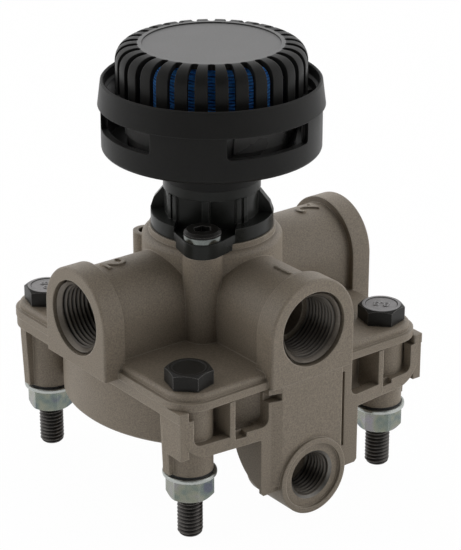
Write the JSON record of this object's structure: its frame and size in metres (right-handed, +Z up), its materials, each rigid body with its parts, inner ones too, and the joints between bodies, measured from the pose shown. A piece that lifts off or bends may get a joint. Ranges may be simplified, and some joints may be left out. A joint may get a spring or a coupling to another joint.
{
  "type": "air brake relay valve",
  "caption": "Air brake relay valve: cast two-part body with ports, a piston and a sprung hollow inlet valve inside, exhaust neck and round silencer on top, stud mounting.",
  "frame": {"origin": "on the valve's axis, level with the free ends of the four studs, in the middle of the stud pattern", "axes": "+Z up along the valve's axis, from the studs to the silencer; delivery ports look along -X and +X; supply port and control port look along -Y"},
  "size_m": [0.1058, 0.1012, 0.1403],
  "materials": {
    "casting": "matt coated",
    "zinc_steel": "zinc plated",
    "dark_steel": "black coated",
    "black_plastic": "moulded",
    "filter_blue": "wound thread",
    "seal_rubber": "matt",
    "machined": "machined",
    "brass": "machined",
    "spring_steel": "bright"
  },
  "bodies": {
    "housing": {"upper_housing": "casting", "lower_housing": "casting", "housing_seal": "seal_rubber", "housing_bolts": "dark_steel", "captive_washers": "seal_rubber", "flange_nuts": "zinc_steel", "valve_spring": "spring_steel", "valve_guide": "machined", "valve_stem_seal": "seal_rubber", "guide_seal": "seal_rubber", "retaining_ring": "spring_steel", "exhaust_neck": "black_plastic", "neck_seal": "seal_rubber", "neck_screws": "dark_steel", "silencer_bowl": "black_plastic", "silencer_seal": "seal_rubber", "silencer_snap_ring": "spring_steel", "filter_core": "black_plastic", "filter_element": "filter_blue", "silencer_cage": "black_plastic"},
    "valve": {"inlet_valve": "brass", "valve_rubber": "seal_rubber"},
    "piston": {"relay_piston": "machined", "piston_seal": "seal_rubber"}
  },
  "joints": [
    {"name": "valve_lift", "type": "slide", "parent": "housing", "child": "valve", "axis": [0, 0, 1], "range_m": [0, 0.0025], "stiffness_N_per_m": 1500, "springref_m": -0.004, "deforming": ["valve_spring"]},
    {"name": "piston_stroke", "type": "slide", "parent": "valve", "child": "piston", "axis": [0, 0, 1], "range_m": [0, 0.002]}
  ]
}
